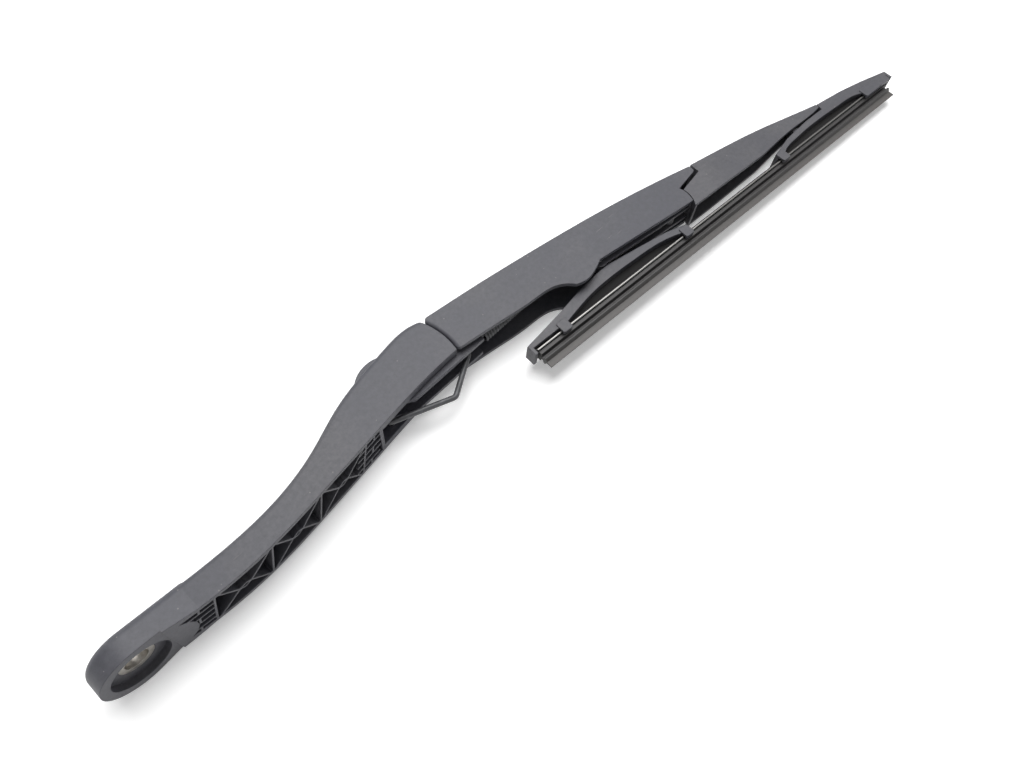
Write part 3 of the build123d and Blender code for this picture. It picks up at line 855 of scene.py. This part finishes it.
class WIPER_OT_rubber(bpy.types.Operator):
    """Cut the wiping rubber and its strips into two halves each, cut across in steps, and finish them"""

    bl_idname = "wiper.rubber"
    bl_label = "Wiping rubber"

    def execute(self, context):
        finishes = context.scene.wiper_finishes
        sizes = context.scene.wiper_sizes
        upward = blade_upward()
        edge = height_range("rubber", upward)[0]
        low, high = height_range("upper_flexor", upward)
        black = wiping_rubber(
            "wiping_rubber",
            finishes.rubber,
            finishes.worn_lip,
            sizes.lip_depth,
            sizes.rubber_softness,
        )
        # The strips' lower part is painted with the rubber's colour as painted shade, up to the middle of
        # the upper strip's height.
        steel = strip_metal("strip_steel", finishes.strip, finishes.rubber, (low + high) / 2 - edge)
        self.bend_halves("rubber", black, "wiping_rubber", upward, edge, sizes.bend_cuts)
        self.bend_halves("upper_flexor", steel, "strip_steel", upward, edge, sizes.bend_cuts)
        self.bend_halves("lower_flexor", steel, "strip_steel", upward, edge, sizes.bend_cuts)
        return {"FINISHED"}

    def bend_halves(self, name, material, slot, upward, edge, cuts):
        """Two halves of a CAD strip, split at the middle between the yokes and cut across in even steps."""
        free_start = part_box("inner_yoke")[1].x
        free_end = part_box("outer_yoke")[0].x
        middle = (free_start + free_end) / 2
        low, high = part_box(name)
        halves = (
            ("inner", "inner_yoke", "bridge", low.x, middle, free_start, middle),
            ("outer", "bridge", "outer_yoke", middle, high.x, middle, free_end),
        )
        for half, first, second, start, end, bend_start, bend_end in halves:
            shape = bmesh.new()
            shape.from_mesh(NODES[name].data)
            bmesh.ops.remove_doubles(shape, verts=shape.verts, dist=MERGE_DISTANCE)
            self.cut(shape, middle, clear_outer=half == "inner", clear_inner=half == "outer")
            open_edges = [rim for rim in shape.edges if rim.is_boundary]
            bmesh.ops.holes_fill(shape, edges=open_edges, sides=len(open_edges))
            for step in range(1, cuts):
                self.cut(shape, start + (end - start) * step / cuts)
            piece = link_mesh(f"{name}_{half}", shape, material, smooth=False)
            heights = piece.data.attributes.new(EDGE_HEIGHT, "FLOAT", "POINT")
            for vertex in piece.data.vertices:
                heights.data[vertex.index].value = vertex.co.dot(upward) - edge
            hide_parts(name)
            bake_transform(piece)

    def cut(self, shape, x, **sides):
        """Cuts a mesh across the blade at x, dropping a side if asked."""
        geometry = [*shape.verts, *shape.edges, *shape.faces]
        bmesh.ops.bisect_plane(
            shape,
            geom=geometry,
            plane_co=(x, 0, 0),
            plane_no=(1, 0, 0),
            dist=CUT_TOLERANCE,
            **sides,
        )


class WIPER_OT_stage(bpy.types.Operator):
    """Set the camera, the floor and the light"""

    bl_idname = "wiper.stage"
    bl_label = "Stage"

    def execute(self, context):
        stage = context.scene.wiper_stage
        scene = context.scene
        scene.view_settings.view_transform = "Standard"
        self.add_camera(scene, stage)
        self.add_floor(scene, stage)
        self.add_light(scene, stage)
        return {"FINISHED"}

    def add_camera(self, scene, stage):
        """Camera at the photograph's angle, from azimuth, elevation and roll."""
        azimuth, elevation, roll = stage.camera_azimuth, stage.camera_elevation, stage.camera_roll
        back = Vector((
            math.sin(azimuth) * math.cos(elevation),
            -math.cos(azimuth) * math.cos(elevation),
            math.sin(elevation),
        ))
        level = Vector((math.cos(azimuth), math.sin(azimuth), 0))
        upright = back.cross(level)
        right = math.cos(roll) * level + math.sin(roll) * upright
        up = back.cross(right)
        data = bpy.data.cameras.new("camera")
        data.sensor_width = 36.0
        data.lens = stage.focal_pixels / IMAGE_WIDTH * data.sensor_width
        data.clip_start = 0.01
        camera = bpy.data.objects.new("camera", data)
        turn = Matrix((right, up, back)).transposed().to_4x4()
        camera.matrix_world = Matrix.Translation(stage.camera_place) @ turn
        scene.collection.objects.link(camera)
        scene.camera = camera

    def add_floor(self, scene, stage):
        """Wide pale floor on which the part rests with its boss and its thin end."""
        points = [vertex.co for node in NODES.values() for vertex in node.data.vertices]
        boss_foot = min(points, key=lambda point: point.z)
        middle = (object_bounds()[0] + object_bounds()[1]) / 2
        beyond = [point for point in points if point.x > middle.x]
        slope = min((point.z - boss_foot.z) / (point.x - boss_foot.x) for point in beyond)
        shape = bmesh.new()
        place = Matrix.Translation((boss_foot.x, middle.y, boss_foot.z - FLOOR_GAP))
        turn = Matrix.Rotation(-math.atan(slope), 4, "Y")
        half_side = stage.floor_size / 2
        bmesh.ops.create_grid(shape, x_segments=1, y_segments=1, size=half_side, matrix=place @ turn)
        material, tree, shader = start_material("pale_floor")
        shader.inputs["Base Color"].default_value = (stage.floor_white,) * 3 + (1,)
        shader.inputs["Roughness"].default_value = 0.9
        shader.inputs["Specular IOR Level"].default_value = 0.1
        veil = tree.nodes.new("ShaderNodeEmission")
        rays = tree.nodes.new("ShaderNodeLightPath")
        seen = add_math(tree, "MAXIMUM", rays.outputs["Is Camera Ray"], rays.outputs["Is Glossy Ray"])
        seen = add_math(tree, "MAXIMUM", seen, rays.outputs["Is Transmission Ray"])
        tree.links.new(add_math(tree, "MULTIPLY", seen, stage.shadow_veil), veil.inputs["Strength"])
        both = tree.nodes.new("ShaderNodeAddShader")
        tree.links.new(shader.outputs[0], both.inputs[0])
        tree.links.new(veil.outputs[0], both.inputs[1])
        tree.links.new(both.outputs[0], tree.nodes["Material Output"].inputs["Surface"])
        floor = link_mesh("floor", shape, material)
        floor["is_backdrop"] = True

    def add_light(self, scene, stage):
        """One long soft ceiling light, a softer window behind the outer side, and an even room."""
        data = bpy.data.lights.new("ceiling", "AREA")
        data.shape = "RECTANGLE"
        data.size = stage.key_length
        data.size_y = stage.key_width
        data.energy = stage.key_power
        key = bpy.data.objects.new("ceiling", data)
        key.location = stage.key_place
        scene.collection.objects.link(key)
        data = bpy.data.lights.new("window", "AREA")
        data.size = stage.window_size
        data.energy = stage.window_power
        window = bpy.data.objects.new("window", data)
        window.location = stage.window_place
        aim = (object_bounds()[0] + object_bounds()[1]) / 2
        window.rotation_euler = (window.location - aim).to_track_quat("Z", "Y").to_euler()
        scene.collection.objects.link(window)
        world = bpy.data.worlds.new("room")
        world.use_nodes = True
        tree = world.node_tree
        sky = tree.nodes["Background"]
        sky.inputs["Color"].default_value = (1, 1, 1, 1)
        sky.inputs["Strength"].default_value = stage.sky_strength
        white = tree.nodes.new("ShaderNodeBackground")
        white.inputs["Color"].default_value = (1, 1, 1, 1)
        white.inputs["Strength"].default_value = 1.0
        rays = tree.nodes.new("ShaderNodeLightPath")
        seen = add_math(tree, "MAXIMUM", rays.outputs["Is Camera Ray"], rays.outputs["Is Glossy Ray"])
        seen = add_math(tree, "MAXIMUM", seen, rays.outputs["Is Transmission Ray"])
        mix = tree.nodes.new("ShaderNodeMixShader")
        tree.links.new(seen, mix.inputs["Fac"])
        tree.links.new(sky.outputs[0], mix.inputs[1])
        tree.links.new(white.outputs[0], mix.inputs[2])
        tree.links.new(mix.outputs[0], tree.nodes["World Output"].inputs["Surface"])
        scene.world = world


class WIPER_PT_panel(bpy.types.Panel):
    """Buttons for every piece"""

    bl_label = "Wiper"
    bl_idname = "WIPER_PT_panel"
    bl_space_type = "VIEW_3D"
    bl_region_type = "UI"
    bl_category = "Wiper"

    def draw(self, context):
        for operator in OPERATORS:
            self.layout.operator(operator.bl_idname)
        for group in ("wiper_sizes", "wiper_finishes", "wiper_stage"):
            settings = getattr(context.scene, group)
            for name in settings.__annotations__:
                self.layout.prop(settings, name)


OPERATORS = (
    WIPER_OT_plastic,
    WIPER_OT_blade,
    WIPER_OT_metal,
    WIPER_OT_spring,
    WIPER_OT_rubber,
    WIPER_OT_stage,
)
CLASSES = (WiperSizes, WiperFinishes, WiperStage, *OPERATORS, WIPER_PT_panel)


def register():
    for item in CLASSES:
        bpy.utils.register_class(item)
    bpy.types.Scene.wiper_sizes = PointerProperty(type=WiperSizes)
    bpy.types.Scene.wiper_finishes = PointerProperty(type=WiperFinishes)
    bpy.types.Scene.wiper_stage = PointerProperty(type=WiperStage)


def unregister():
    del bpy.types.Scene.wiper_stage
    del bpy.types.Scene.wiper_finishes
    del bpy.types.Scene.wiper_sizes
    for item in reversed(CLASSES):
        bpy.utils.unregister_class(item)


def main():
    register()
    bpy.ops.wiper.plastic()
    bpy.ops.wiper.blade()
    bpy.ops.wiper.metal()
    bpy.ops.wiper.spring()
    bpy.ops.wiper.rubber()
    bpy.ops.wiper.stage()


if __name__ == "__main__":
    main()
